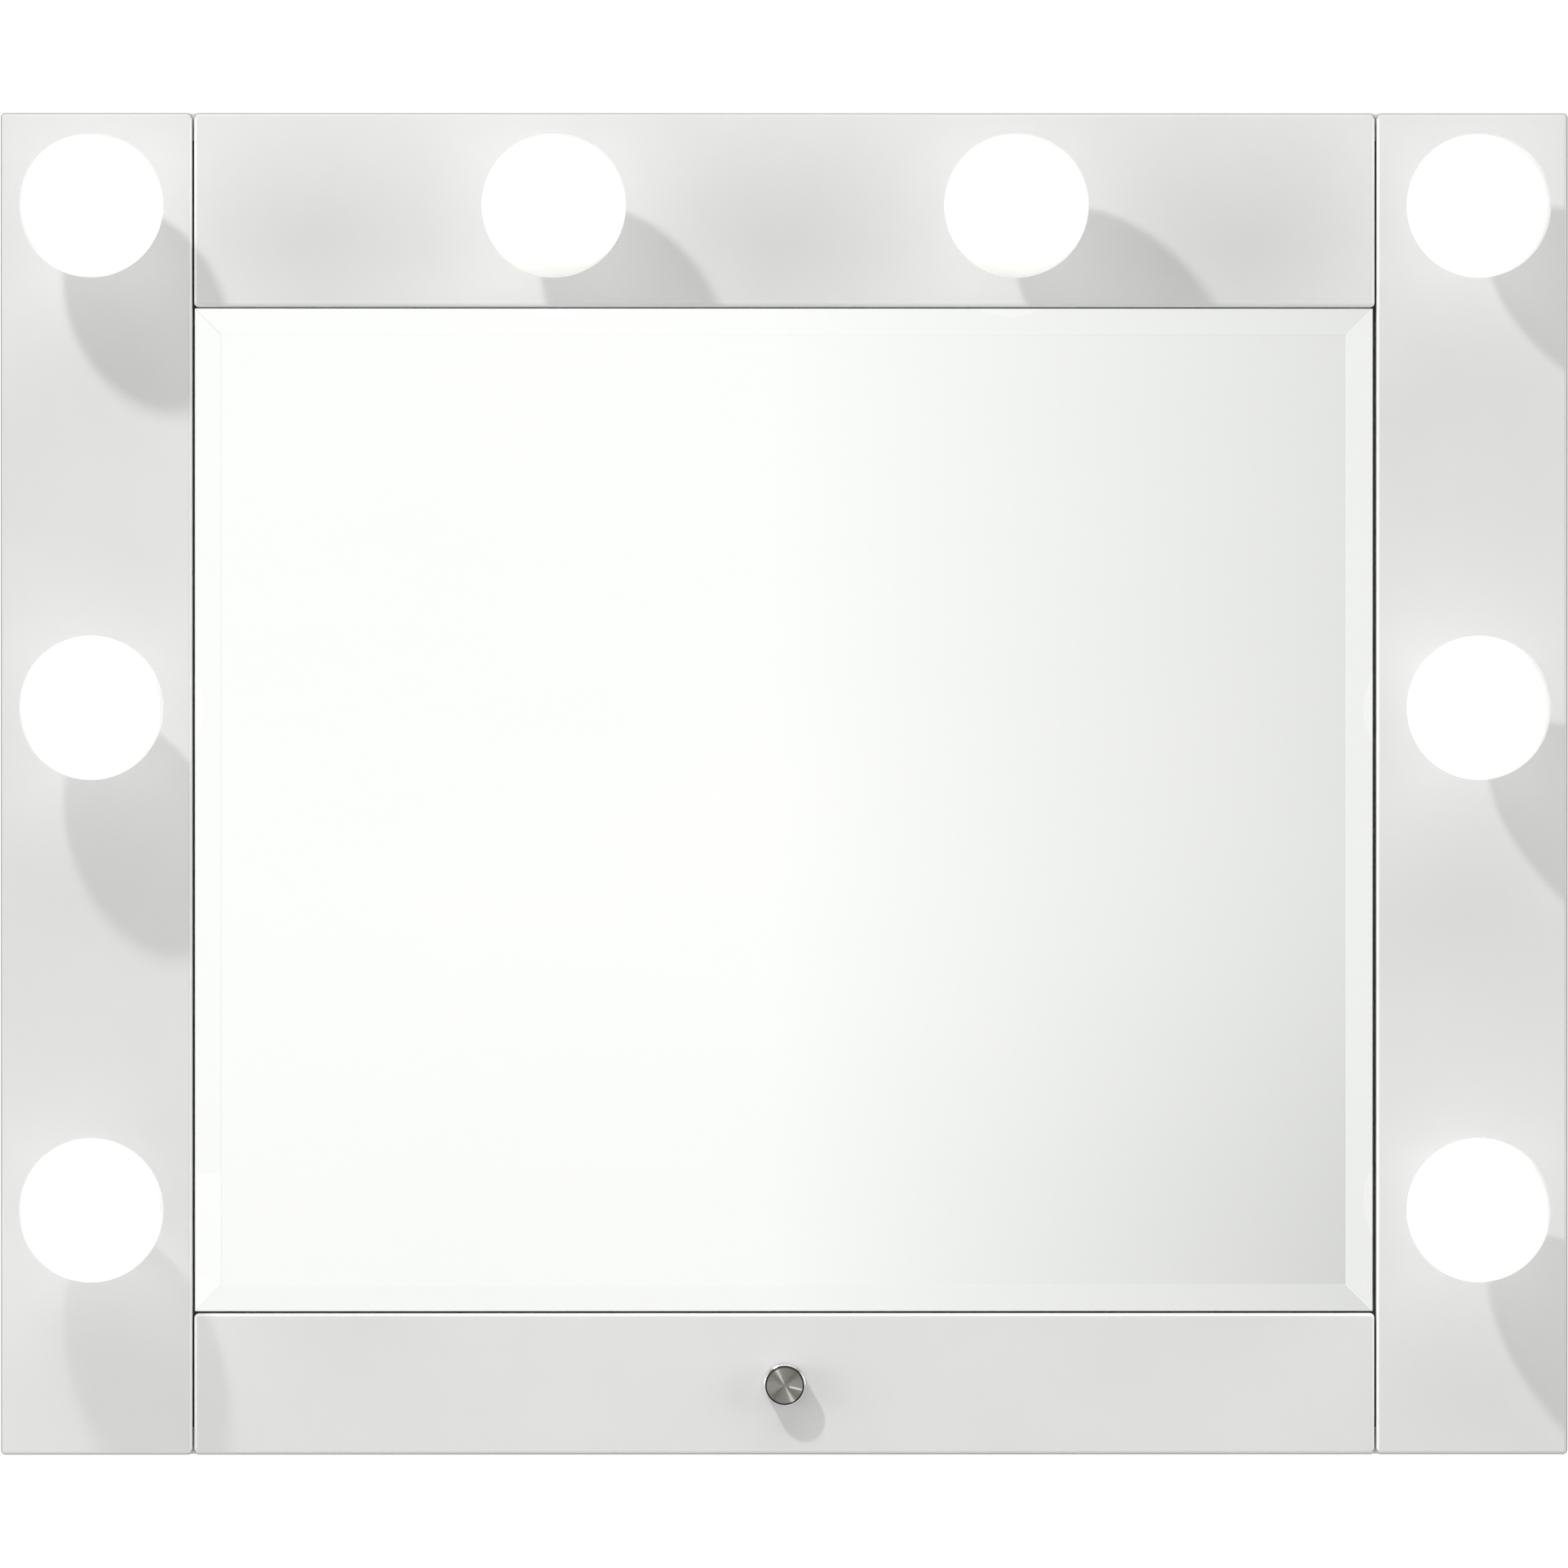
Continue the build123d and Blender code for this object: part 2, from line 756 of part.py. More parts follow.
knob_top = knob_clearance + knob_height
rim_inner = knob_radius - knob_chamfer - rim_width
with BuildPart() as dimmer_knob:
    turn_profile(
        dimmer_place,
        [
            (0, knob_clearance),
            (knob_radius - back_break, knob_clearance),
            (knob_radius, knob_clearance + back_break),
            (knob_radius, knob_top - knob_chamfer),
            (knob_radius - knob_chamfer, knob_top),
            (rim_inner, knob_top),
            (rim_inner - dish, knob_top - dish),
            (0, knob_top - dish),
        ],
    )
    with BuildSketch(layer(knob_back_y)):
        with Locations(dimmer_place):
            Circle(nut_cavity_radius)
    extrude(amount=nut_cavity, mode=Mode.SUBTRACT)
    with BuildSketch(layer(face_y - flat_start)):
        shaft_section(shaft_radius, shaft_flat)
    extrude(amount=shaft_front - flat_start, mode=Mode.SUBTRACT)
    # Fine straight knurl round the skirt, short of the chamfer.
    with BuildSketch(layer(knob_back_y)):
        with Locations(dimmer_place):
            with PolarLocations(knob_radius, knurl_count):
                Rectangle(2 * knurl_depth, 2 * knurl_depth, rotation=45)
    extrude(amount=knob_height - knob_chamfer - knurl_gap, mode=Mode.SUBTRACT)
    # Pointer: a milled groove from near the middle out through the chamfer.
    with BuildSketch(layer(knob_front_y)):
        with Locations(Location((0, bottom_rail_z), pointer_degrees)):
            with Locations((pointer_inner, 0)):
                Circle(pointer_width / 2)
                Rectangle(
                    knob_radius - pointer_inner - rim_width,
                    pointer_width,
                    align=(Align.MIN, Align.CENTER),
                )
    extrude(amount=-pointer_depth, mode=Mode.SUBTRACT)
    with BuildSketch(grub_seat):
        Circle(grub_radius)
    extrude(amount=knob_radius, mode=Mode.SUBTRACT)
save(dimmer_knob, "dimmer_knob")

hex_socket = 1.5  # across the flats, and as deep
with BuildPart() as knob_grub_screw:
    with BuildSketch(grub_seat.offset(shaft_flat)):
        Circle(grub_radius)
    extrude(amount=grub_length)
    with BuildSketch(grub_seat.offset(shaft_flat + grub_length)):
        RegularPolygon(hex_socket / 2, 6, major_radius=False)
    extrude(amount=-hex_socket, mode=Mode.SUBTRACT)
save(knob_grub_screw, "knob_grub_screw")

# ---- Power inlet in the underside -----------------------------------------------------------
inlet_mouth = (24.4, 16.4)
inlet_mouth_depth = 17.0
blade = (4.0, 2.0)
blade_places = [(-7.0, -2.0), (7.0, -2.0), (0.0, 2.0)]
inlet_plane = Plane(origin=(inlet_x, inlet_y, underside))

with BuildPart() as inlet_housing:
    with BuildSketch(inlet_plane):
        RectangleRounded(inlet_flange[0], inlet_flange[1], 3)
    extrude(amount=inlet_flange[2])
    with BuildSketch(inlet_plane):
        RectangleRounded(inlet_body[0], inlet_body[1], 1)
    extrude(amount=inlet_depth)
    with BuildSketch(inlet_plane):
        RectangleRounded(inlet_mouth[0], inlet_mouth[1], 2.5)
    extrude(amount=inlet_mouth_depth, mode=Mode.SUBTRACT)
    with BuildSketch(inlet_plane):
        with Locations(*blade_places):
            Rectangle(blade[1], blade[0])
    extrude(amount=inlet_depth, mode=Mode.SUBTRACT)
    screw_shapes(
        inlet_screw_places, (0, 0, 1), inlet_screw_length, False, Mode.SUBTRACT
    )
save(inlet_housing, "inlet_housing")

blade_tip = 5.0  # inside the mouth
tab_length = 8.0
with BuildPart() as inlet_blades:
    with BuildSketch(inlet_plane.offset(blade_tip)):
        with Locations(*blade_places):
            Rectangle(blade[1], blade[0])
    extrude(amount=inlet_depth + tab_length - blade_tip)
save(inlet_blades, "inlet_blades")

with BuildPart() as inlet_screws:
    screw_shapes(inlet_screw_places, (0, 0, 1), inlet_screw_length)
save(inlet_screws, "inlet_screws")

# ---- Wiring ---------------------------------------------------------------------------------
cable_radius = 2.6
lead_radius = 1.0
cable_y = carrier_rear_y + cable_radius
cable_offset = 31.0  # from the lamps' axes
ring_x = stile_x - cable_offset
ring_top = top_rail_z - cable_offset
ring_bottom = batten_bottom - 7.0
module_rear_y = board_rear_y + module_depth
supply_y = -26.0
lamp_cable_route = [
    (-8, module_rear_y, bottom_rail_z),
    (-8, supply_y, bottom_rail_z),
    (-40, supply_y, ring_bottom),
    (-110, cable_y, ring_bottom),
    (-ring_x, cable_y, ring_bottom),
    (-ring_x, cable_y, ring_top),
    (ring_x, cable_y, ring_top),
    (ring_x, cable_y, lamp_low_z - 20),
]
lamp_cable_bends = [5.0, 18.0, 60.0, 12.0, 30.0, 30.0]
tab_z = underside + inlet_depth + tab_length
supply_route = [
    (inlet_x, supply_y, tab_z),
    (inlet_x, supply_y, ring_bottom - 8),
    (8, supply_y, ring_bottom - 8),
    (8, supply_y, bottom_rail_z),
    (8, module_rear_y, bottom_rail_z),
]
supply_bends = [10.0, 10.0, 5.0]


def tube(points, bends, radius):
    """A round cable along straight runs joined by arcs."""
    with BuildLine() as route:
        FilletPolyline(*points, radius=bends)
    with BuildSketch(Plane(origin=route.line @ 0, z_dir=route.line % 0)) as ring:
        Circle(radius)
    sweep(ring.sketch, path=route.line)


with BuildPart() as cables:
    tube(lamp_cable_route, lamp_cable_bends, cable_radius)
    tube(supply_route, supply_bends, cable_radius)
save(cables, "cables")


def lead_side(x, z):
    """The direction from a lamp's axis to the cable beside it."""
    if abs(x) < stile_x:
        return 0, -1
    return (1 if x < 0 else -1), 0


holder_rear_y = face_y - holder_rear
lead_y = holder_rear_y + 7
with BuildPart() as lamp_leads:
    for x, z in lamps:
        across, down = lead_side(x, z)
        for spread in (-5.0, 5.0):
            near = (x + across * 8 + abs(down) * spread, z + down * 8 + abs(across) * spread)
            far = (
                x + across * cable_offset + abs(down) * spread,
                z + down * cable_offset + abs(across) * spread,
            )
            points = [
                (near[0], holder_rear_y, near[1]),
                (near[0], lead_y, near[1]),
                (far[0], lead_y, far[1]),
                (far[0], cable_y + cable_radius, far[1]),
            ]
            tube(points, 3.0, lead_radius)
save(lamp_leads, "lamp_leads")
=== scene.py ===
import json
import math

import bmesh
import bpy
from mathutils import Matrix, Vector


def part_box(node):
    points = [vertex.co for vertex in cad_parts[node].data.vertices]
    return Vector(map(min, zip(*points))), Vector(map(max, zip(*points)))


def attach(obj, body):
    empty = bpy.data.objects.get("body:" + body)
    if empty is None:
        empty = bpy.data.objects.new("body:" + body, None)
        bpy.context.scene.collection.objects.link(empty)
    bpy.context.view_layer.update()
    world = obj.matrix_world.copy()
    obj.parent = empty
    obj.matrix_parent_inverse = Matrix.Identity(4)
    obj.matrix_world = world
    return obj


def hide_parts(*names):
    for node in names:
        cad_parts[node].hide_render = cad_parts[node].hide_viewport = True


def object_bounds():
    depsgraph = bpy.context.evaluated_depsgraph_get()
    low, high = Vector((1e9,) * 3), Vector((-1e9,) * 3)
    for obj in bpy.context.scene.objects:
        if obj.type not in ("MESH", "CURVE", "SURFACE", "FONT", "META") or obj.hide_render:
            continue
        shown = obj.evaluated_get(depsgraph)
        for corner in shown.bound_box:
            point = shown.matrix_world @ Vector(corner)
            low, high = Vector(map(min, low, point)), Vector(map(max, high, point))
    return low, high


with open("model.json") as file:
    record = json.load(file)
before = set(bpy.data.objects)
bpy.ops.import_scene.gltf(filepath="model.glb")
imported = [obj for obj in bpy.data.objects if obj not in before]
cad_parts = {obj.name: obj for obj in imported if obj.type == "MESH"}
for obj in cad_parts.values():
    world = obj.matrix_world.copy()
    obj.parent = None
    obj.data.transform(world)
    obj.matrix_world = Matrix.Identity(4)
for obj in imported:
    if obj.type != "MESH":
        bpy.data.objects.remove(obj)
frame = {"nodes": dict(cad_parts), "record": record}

cad_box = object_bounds()
slots = {row["node"]: row["material_slot"] for row in frame["record"]["subparts"]}

# The frame's face, where the boards end and the lamps stand out, and its underside.
board_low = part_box("left_stile")[0]
face_y = board_low.y
bottom_z = board_low.z

# Lacquer: how far in from the frame's sides its outer edges reach.
outer_edge = 0.003

# Globes: the neck's dim end is a little in front of the face.
globe_radius = 0.04
globe_glow = 0.56
neck_end = 0.006
neck_glow = 0.55

# Knob: the bright rim, partly painted highlight, with a ring of painted dark reflection at its
# inside, and the depths between which the pointer's floor lies behind the knob's front.
knob_rim = 0.0017
knob_painted_dark_ring = 0.0009
pointer_depths = (0.00045, 0.0012)


# ---- Shader helpers -------------------------------------------------------------------------
class Graph:
    """A node tree, with short ways to add to it."""

    def __init__(self, tree):
        self.tree = tree

    def add(self, kind, **settings):
        node = self.tree.nodes.new(kind)
        for key, value in settings.items():
            setattr(node, key, value)
        return node

    def link(self, source, target):
        self.tree.links.new(source, target)

    def feed(self, socket, value):
        """Links a socket to another node's output, or sets it to a constant."""
        if isinstance(value, bpy.types.NodeSocket):
            self.link(value, socket)
        else:
            socket.default_value = value

    def split(self, vector):
        """A vector's three parts."""
        node = self.add("ShaderNodeSeparateXYZ")
        self.link(vector, node.inputs[0])
        return tuple(node.outputs)

    def math(self, operation, *values):
        node = self.add("ShaderNodeMath", operation=operation)
        for socket, value in zip(node.inputs, values):
            self.feed(socket, value)
        return node.outputs[0]

    def spread(self, value, low, high, to_low, to_high, interpolation="LINEAR"):
        """Maps a value's range onto another, clamped at both ends."""
        node = self.add("ShaderNodeMapRange", interpolation_type=interpolation)
        node.inputs["From Min"].default_value = low
        node.inputs["From Max"].default_value = high
        node.inputs["To Min"].default_value = to_low
        node.inputs["To Max"].default_value = to_high
        self.link(value, node.inputs["Value"])
        return node.outputs["Result"]

    def fade(self, value, low, high):
        """Goes smoothly from 0 to 1 as the value goes from low to high."""
        return self.spread(value, low, high, 0.0, 1.0, "SMOOTHSTEP")

    def between(self, value, low, high):
        """1 between two limits and 0 outside them."""
        above = self.math("GREATER_THAN", value, low)
        below = self.math("LESS_THAN", value, high)
        return self.math("MULTIPLY", above, below)

    def blend(self, factor, first, second):
        """The first number where the factor is 0, the second where it is 1."""
        node = self.add("ShaderNodeMix", data_type="FLOAT")
        self.feed(node.inputs[0], factor)
        self.feed(node.inputs[2], first)
        self.feed(node.inputs[3], second)
        return node.outputs[0]


class Paint(Graph):
    """A node material with one Principled shader."""

    def __init__(self, name):
        self.material = bpy.data.materials.new(name)
        self.material.use_nodes = True
        super().__init__(self.material.node_tree)
        self.shader = self.tree.nodes["Principled BSDF"]
        coordinates = self.add("ShaderNodeTexCoord").outputs
        self.place = coordinates["Object"]
        self.normal = coordinates["Normal"]

    def fix(self, **values):
        """Sets constants on the shader's own sockets, with _ for a space in their names."""
        for key, value in values.items():
            self.shader.inputs[key.replace("_", " ")].default_value = value

    def colour(self, source):
        self.link(source, self.shader.inputs["Base Color"])

    def roughness(self, source):
        self.link(source, self.shader.inputs["Roughness"])

    def bump(self, height, strength, distance):
        node = self.add("ShaderNodeBump")
        node.inputs["Strength"].default_value = strength
        node.inputs["Distance"].default_value = distance
        self.link(height, node.inputs["Height"])
        self.link(node.outputs["Normal"], self.shader.inputs["Normal"])

    def stretched(self, scale, turn=(0, 0, 0)):
        """Object coordinates, scaled along each axis."""
        mapping = self.add("ShaderNodeMapping")
        mapping.inputs["Scale"].default_value = scale
        mapping.inputs["Rotation"].default_value = turn
        self.link(self.place, mapping.inputs["Vector"])
        return mapping.outputs["Vector"]

    def noise(self, scale, detail=4.0, rough=0.55, vector=None):
        node = self.add("ShaderNodeTexNoise")
        node.inputs["Scale"].default_value = scale
        node.inputs["Detail"].default_value = detail
        node.inputs["Roughness"].default_value = rough
        self.link(vector or self.place, node.inputs["Vector"])
        return node.outputs["Fac"]

    def ramp(self, value, *stops):
        """A colour ramp of (position, (r, g, b)) stops."""
        node = self.add("ShaderNodeValToRGB")
        points = node.color_ramp.elements
        while len(points) < len(stops):
            points.new(0.5)
        for point, (position, colour) in zip(points, stops):
            point.position = position
            point.color = (*colour, 1.0)
        self.link(value, node.inputs["Fac"])
        return node.outputs["Color"]

    def mix(self, factor, first, second):
        """The first colour, a node's, where the factor is 0, the second, (r, g, b), where it is 1."""
        node = self.add("ShaderNodeMix", data_type="RGBA")
        self.link(factor, node.inputs[0])
        self.link(first, node.inputs[6])
        node.inputs[7].default_value = (*second, 1.0)
        return node.outputs[2]

    def vector_math(self, operation, *values):
        node = self.add("ShaderNodeVectorMath", operation=operation)
        for socket, value in zip(node.inputs, values):
            self.feed(socket, value)
        return node


# ---- Materials ------------------------------------------------------------------------------
def white_lacquer():
    """Sprayed white lacquer: faint orange peel and haze, with painted highlights on the rounded
    edges.
    """
    paint = Paint("white_lacquer")
    cloud = paint.noise(9.0, 3.0)
    tint = paint.ramp(cloud, (0.3, (0.786, 0.786, 0.782)), (0.7, (0.812, 0.812, 0.809)))

    # 1 where the surface faces forwards, 0 where it faces sideways, and between them on an edge.
    facing = paint.math("MULTIPLY", paint.split(paint.normal)[1], -1.0)
    off_the_face = paint.spread(facing, 0.9, 0.985, 1.0, 0.0)
    off_the_side = paint.spread(facing, 0.15, 0.4, 0.0, 1.0)
    rounded = paint.math("MULTIPLY", off_the_face, off_the_side)

    # The frame's outer edges get no painted highlight, and a grey line of painted shade where they
    # meet the sides.
    across, _, up = paint.split(paint.place)
    side_edge = cad_box[1].x - outer_edge
    end_edge = cad_box[1].z - outer_edge
    past_sides = paint.math("GREATER_THAN", paint.math("ABSOLUTE", across), side_edge)
    past_ends = paint.math("GREATER_THAN", paint.math("ABSOLUTE", up), end_edge)
    outer = paint.math("MAXIMUM", past_sides, past_ends)
    inner = paint.math("SUBTRACT", 1.0, outer)
    # Painted highlight: the rounded edges of the inner boards are coloured near white.
    painted_edge_highlight = paint.mix(paint.math("MULTIPLY", rounded, inner), tint, (0.95, 0.948, 0.942))
    # Painted shade: a grey line on the outer rounded edges, where they turn to the sides.
    turned = paint.spread(facing, 0.45, 0.85, 1.0, 0.0)
    line = paint.math("MULTIPLY", turned, paint.spread(facing, 0.02, 0.2, 0.0, 1.0))
    paint.colour(paint.mix(paint.math("MULTIPLY", line, outer), painted_edge_highlight, (0.42, 0.42, 0.415)))

    haze = paint.noise(38.0, 5.0)
    paint.roughness(paint.spread(haze, 0.35, 0.7, 0.07, 0.12))
    peel = paint.noise(260.0, 2.0)
    paint.bump(peel, 0.03, 0.0002)
    paint.fix(IOR=1.5)
    return paint.material


def fibreboard():
    """Raw medium-density board: warm brown with fine flecks of fibre."""
    paint = Paint("fibreboard")
    fleck = paint.noise(700.0, 6.0, 0.7)
    patch = paint.noise(14.0, 3.0)
    fine = paint.ramp(fleck, (0.3, (0.30, 0.20, 0.11)), (0.72, (0.52, 0.38, 0.235)))
    paint.colour(paint.mix(paint.spread(patch, 0.35, 0.7, 0.0, 0.3), fine, (0.36, 0.25, 0.15)))
    paint.fix(Roughness=0.88)
    paint.bump(fleck, 0.35, 0.0004)
    return paint.material


def dark_primer():
    """Painted shade: the board seen in the gaps is coloured dark grey, brushed over pressed fibre."""
    paint = Paint("dark_primer")
    fibre = paint.noise(520.0, 5.0, 0.65)
    brush = paint.noise(40.0, 4.0, 0.6, paint.stretched((1, 1, 12)))
    grey = paint.ramp(fibre, (0.3, (0.05, 0.049, 0.048)), (0.7, (0.085, 0.083, 0.08)))
    paint.colour(paint.mix(paint.spread(brush, 0.4, 0.7, 0.0, 0.3), grey, (0.11, 0.105, 0.10)))
    paint.roughness(paint.spread(brush, 0.3, 0.7, 0.6, 0.8))
    paint.bump(fibre, 0.25, 0.0003)
    return paint.material


def coated_hardboard():
    """Thin rear board with a pale sprayed coat over pressed fibre."""
    paint = Paint("coated_hardboard")
    fibre = paint.noise(420.0, 5.0, 0.65)
    scuff = paint.noise(11.0, 5.0, 0.6)
    pale = paint.ramp(fibre, (0.3, (0.60, 0.595, 0.575)), (0.7, (0.70, 0.695, 0.68)))
    paint.colour(paint.mix(paint.spread(scuff, 0.55, 0.8, 0.0, 0.35), pale, (0.52, 0.50, 0.46)))
    paint.roughness(paint.spread(scuff, 0.3, 0.7, 0.5, 0.68))
    paint.bump(fibre, 0.25, 0.0003)
    return paint.material


def clear_glass():
    """Float glass: very slightly green, with a trace of wiped haze."""
    paint = Paint("clear_glass")
    wipe = paint.noise(6.0, 3.0, 0.5, paint.stretched((1, 1, 5), (0, 0.5, 0)))
    paint.colour(paint.ramp(wipe, (0.35, (0.970, 0.978, 0.972)), (0.7, (0.975, 0.982, 0.977))))
    paint.fix(Transmission_Weight=1.0, IOR=1.52, Roughness=0.0)
    return paint.material


def silvering():
    """The silver coat behind the glass, a little uneven where it was poured."""
    paint = Paint("silvering")
    pour = paint.noise(3.0, 2.0)
    paint.colour(paint.ramp(pour, (0.3, (0.935, 0.945, 0.935)), (0.7, (0.95, 0.957, 0.95))))
    paint.fix(Metallic=1.0, Roughness=0.0)
    return paint.material


def foam_tape():
    """Foam tape: off-white, with open cells."""
    paint = Paint("foam_tape")
    cells = paint.noise(1500.0, 3.0)
    paint.colour(paint.ramp(cells, (0.3, (0.62, 0.62, 0.60)), (0.7, (0.8, 0.8, 0.78))))
    paint.fix(Roughness=0.9)
    paint.bump(cells, 0.5, 0.0003)
    return paint.material


def porcelain():
    """Glazed lamp-holder porcelain, with a slight sag of the glaze."""
    paint = Paint("porcelain")
    sag = paint.noise(90.0, 2.0)
    paint.colour(paint.ramp(sag, (0.3, (0.74, 0.72, 0.68)), (0.7, (0.82, 0.80, 0.76))))
    paint.roughness(paint.spread(sag, 0.3, 0.7, 0.12, 0.22))
    paint.bump(sag, 0.12, 0.0004)
    paint.fix(Coat_Weight=0.6, Coat_Roughness=0.05)
    return paint.material


def frosted_glass():
    """Lit globe: white frosted glass, evenly bright and a little dimmer down the neck."""
    paint = Paint("frosted_glass")
    frost = paint.noise(900.0, 3.0)
    cloud = paint.noise(45.0, 2.0)
    paint.colour(paint.ramp(cloud, (0.3, (0.80, 0.80, 0.79)), (0.7, (0.86, 0.86, 0.855))))
    depth = paint.split(paint.place)[1]
    centre_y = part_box("lamp_1_globe")[0].y + globe_radius
    lit = paint.spread(depth, centre_y, face_y - neck_end, 1.0, neck_glow)
    glow = paint.math("MULTIPLY", lit, paint.spread(cloud, 0.3, 0.7, 0.97, 1.03))
    paint.link(paint.math("MULTIPLY", glow, globe_glow), paint.shader.inputs["Emission Strength"])
    paint.fix(Emission_Color=(1.0, 0.985, 0.96, 1.0), Coat_Weight=0.5, Coat_Roughness=0.08)
    paint.roughness(paint.spread(frost, 0.3, 0.7, 0.32, 0.42))
    paint.bump(frost, 0.05, 0.0001)
    return paint.material


def black_glass():
    """The black glass bead between a lamp's cap and its eyelet."""
    paint = Paint("black_glass")
    swirl = paint.noise(260.0, 4.0)
    paint.colour(paint.ramp(swirl, (0.35, (0.012, 0.011, 0.014)), (0.7, (0.04, 0.036, 0.045))))
    paint.roughness(paint.spread(swirl, 0.3, 0.7, 0.1, 0.24))
    paint.bump(swirl, 0.2, 0.0003)
    return paint.material


def spun_aluminium():
    """Knob turned on a lathe: rings cut about its axis, so highlights run out as rays.

    A ring of painted dark reflection, coloured near black, bounds the face; the chamfer and the skirt
    outside it are cut brighter, their near-white colour partly painted highlight, and the pointer is
    filled white.
    """
    paint = Paint("spun_aluminium")
    low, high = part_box("dimmer_knob")
    middle = (low + high) / 2
    face_radius = (high.x - low.x) / 2 - knob_rim
    offset = paint.vector_math("SUBTRACT", paint.place, middle).outputs[0]
    outwards = paint.vector_math("MULTIPLY", offset, (1, 0, 1)).outputs[0]
    radius = paint.vector_math("LENGTH", outwards).outputs["Value"]
    rings = paint.add("ShaderNodeTexNoise", noise_dimensions="1D")
    rings.inputs["Scale"].default_value = 6000.0
    rings.inputs["Detail"].default_value = 3.0
    paint.link(radius, rings.inputs["W"])
    ring = rings.outputs["Fac"]
    rim = paint.math("GREATER_THAN", radius, face_radius)
    past_groove = paint.math("GREATER_THAN", radius, face_radius + knob_painted_dark_ring)
    painted_dark_ring = paint.math("SUBTRACT", rim, past_groove)

    # The pointer's floor lies deeper than the dished face, within the rim.
    depth = paint.split(paint.place)[1]
    deep = paint.math("GREATER_THAN", depth, low.y + pointer_depths[0])
    shallow = paint.math("LESS_THAN", depth, low.y + pointer_depths[1])
    within = paint.math("SUBTRACT", 1.0, rim)
    pointer = paint.math("MULTIPLY", paint.math("MULTIPLY", deep, shallow), within)

    metal = paint.ramp(ring, (0.3, (0.43, 0.415, 0.38)), (0.7, (0.57, 0.555, 0.52)))
    # Partly painted highlight: the cut rim is coloured near white, brighter than the face.
    metal = paint.mix(rim, metal, (0.9, 0.895, 0.88))
    # Painted dark reflection: the ring just inside the rim is coloured near black.
    metal = paint.mix(painted_dark_ring, metal, (0.05, 0.05, 0.05))
    paint.colour(paint.mix(pointer, metal, (0.86, 0.86, 0.84)))
    paint.link(paint.math("SUBTRACT", 1.0, pointer), paint.shader.inputs["Metallic"])
    satin = paint.spread(ring, 0.3, 0.7, 0.46, 0.53)
    polished = paint.spread(ring, 0.3, 0.7, 0.28, 0.36)
    paint.roughness(paint.blend(rim, satin, polished))
    paint.bump(ring, 0.1, 0.00004)

    # The rings scatter light across themselves, so the tangent runs out from the knob's axis.
    turn = paint.add("ShaderNodeVectorTransform", vector_type="VECTOR")
    turn.convert_from = "OBJECT"
    turn.convert_to = "WORLD"
    paint.link(outwards, turn.inputs[0])
    paint.link(turn.outputs[0], paint.shader.inputs["Tangent"])
    paint.fix(Anisotropic=1.0)
    return paint.material


def zinc_plate():
    """Bright zinc over steel: patchy, with a faint blue and yellow cast."""
    paint = Paint("zinc_plate")
    cast = paint.noise(160.0, 4.0)
    blue, grey, yellow = (0.55, 0.57, 0.62), (0.66, 0.67, 0.68), (0.68, 0.66, 0.58)
    paint.colour(paint.ramp(cast, (0.3, blue), (0.55, grey), (0.75, yellow)))
    spangle = paint.add("ShaderNodeTexVoronoi")
    spangle.inputs["Scale"].default_value = 650.0
    paint.link(paint.place, spangle.inputs["Vector"])
    paint.roughness(paint.spread(spangle.outputs["Distance"], 0.0, 0.8, 0.24, 0.42))
    paint.bump(cast, 0.08, 0.0002)
    paint.fix(Metallic=1.0)
    return paint.material


def rolled_metal(name, dark, light, low, high):
    """Sheet metal with tarnish in patches and fine drawing lines."""
    paint = Paint(name)
    patch = paint.noise(120.0, 4.0)
    lines = paint.noise(900.0, 3.0, 0.6, paint.stretched((1, 6, 1)))
    paint.colour(paint.ramp(patch, (0.3, dark), (0.7, light)))
    paint.roughness(paint.spread(lines, 0.3, 0.7, low, high))
    paint.bump(lines, 0.08, 0.0001)
    paint.fix(Metallic=1.0)
    return paint.material


def moulded_plastic(name, dark, light, low, high):
    """Moulding with a fine grain and a slight difference in shade."""
    paint = Paint(name)
    grain = paint.noise(1100.0, 4.0)
    shade = paint.noise(70.0, 2.0)
    paint.colour(paint.ramp(shade, (0.3, dark), (0.7, light)))
    paint.roughness(paint.spread(grain, 0.3, 0.7, low, high))
    paint.bump(grain, 0.18, 0.0001)
    return paint.material


def white_plastic():
    """Moulded collar: white, with a fine spark-eroded grain."""
    paint = Paint("white_plastic")
    grain = paint.noise(1400.0, 3.0)
    shade = paint.noise(60.0, 2.0)
    paint.colour(paint.ramp(shade, (0.3, (0.79, 0.79, 0.78)), (0.7, (0.83, 0.83, 0.82))))
    paint.roughness(paint.spread(grain, 0.3, 0.7, 0.22, 0.34))
    paint.bump(grain, 0.1, 0.0001)
    return paint.material


def pale_floor():
    """Plain pale studio floor."""
    paint = Paint("pale_floor")
    cloud = paint.noise(1.5, 3.0)
    paint.colour(paint.ramp(cloud, (0.3, (0.80, 0.80, 0.80)), (0.7, (0.82, 0.82, 0.82))))
    paint.fix(Roughness=0.7)
    return paint.material


# Each metal's and each plastic's dark and light shade, and the range of its roughness.
metals = {
    "brass": ((0.62, 0.43, 0.17), (0.80, 0.60, 0.28), 0.2, 0.38),
    "nickel_plate": ((0.55, 0.53, 0.49), (0.72, 0.70, 0.66), 0.16, 0.3),
    "plain_steel": ((0.42, 0.42, 0.43), (0.58, 0.58, 0.59), 0.22, 0.4),
    "tinned_brass": ((0.60, 0.57, 0.50), (0.74, 0.72, 0.66), 0.2, 0.34),
}
plastics = {
    "module_case": ((0.02, 0.03, 0.06), (0.035, 0.045, 0.08), 0.45, 0.6),
    "black_moulding": ((0.014, 0.014, 0.015), (0.026, 0.026, 0.027), 0.38, 0.55),
    "cable_jacket": ((0.70, 0.70, 0.69), (0.78, 0.78, 0.77), 0.4, 0.55),
    "lead_sleeve": ((0.45, 0.50, 0.56), (0.55, 0.60, 0.65), 0.4, 0.55),
}
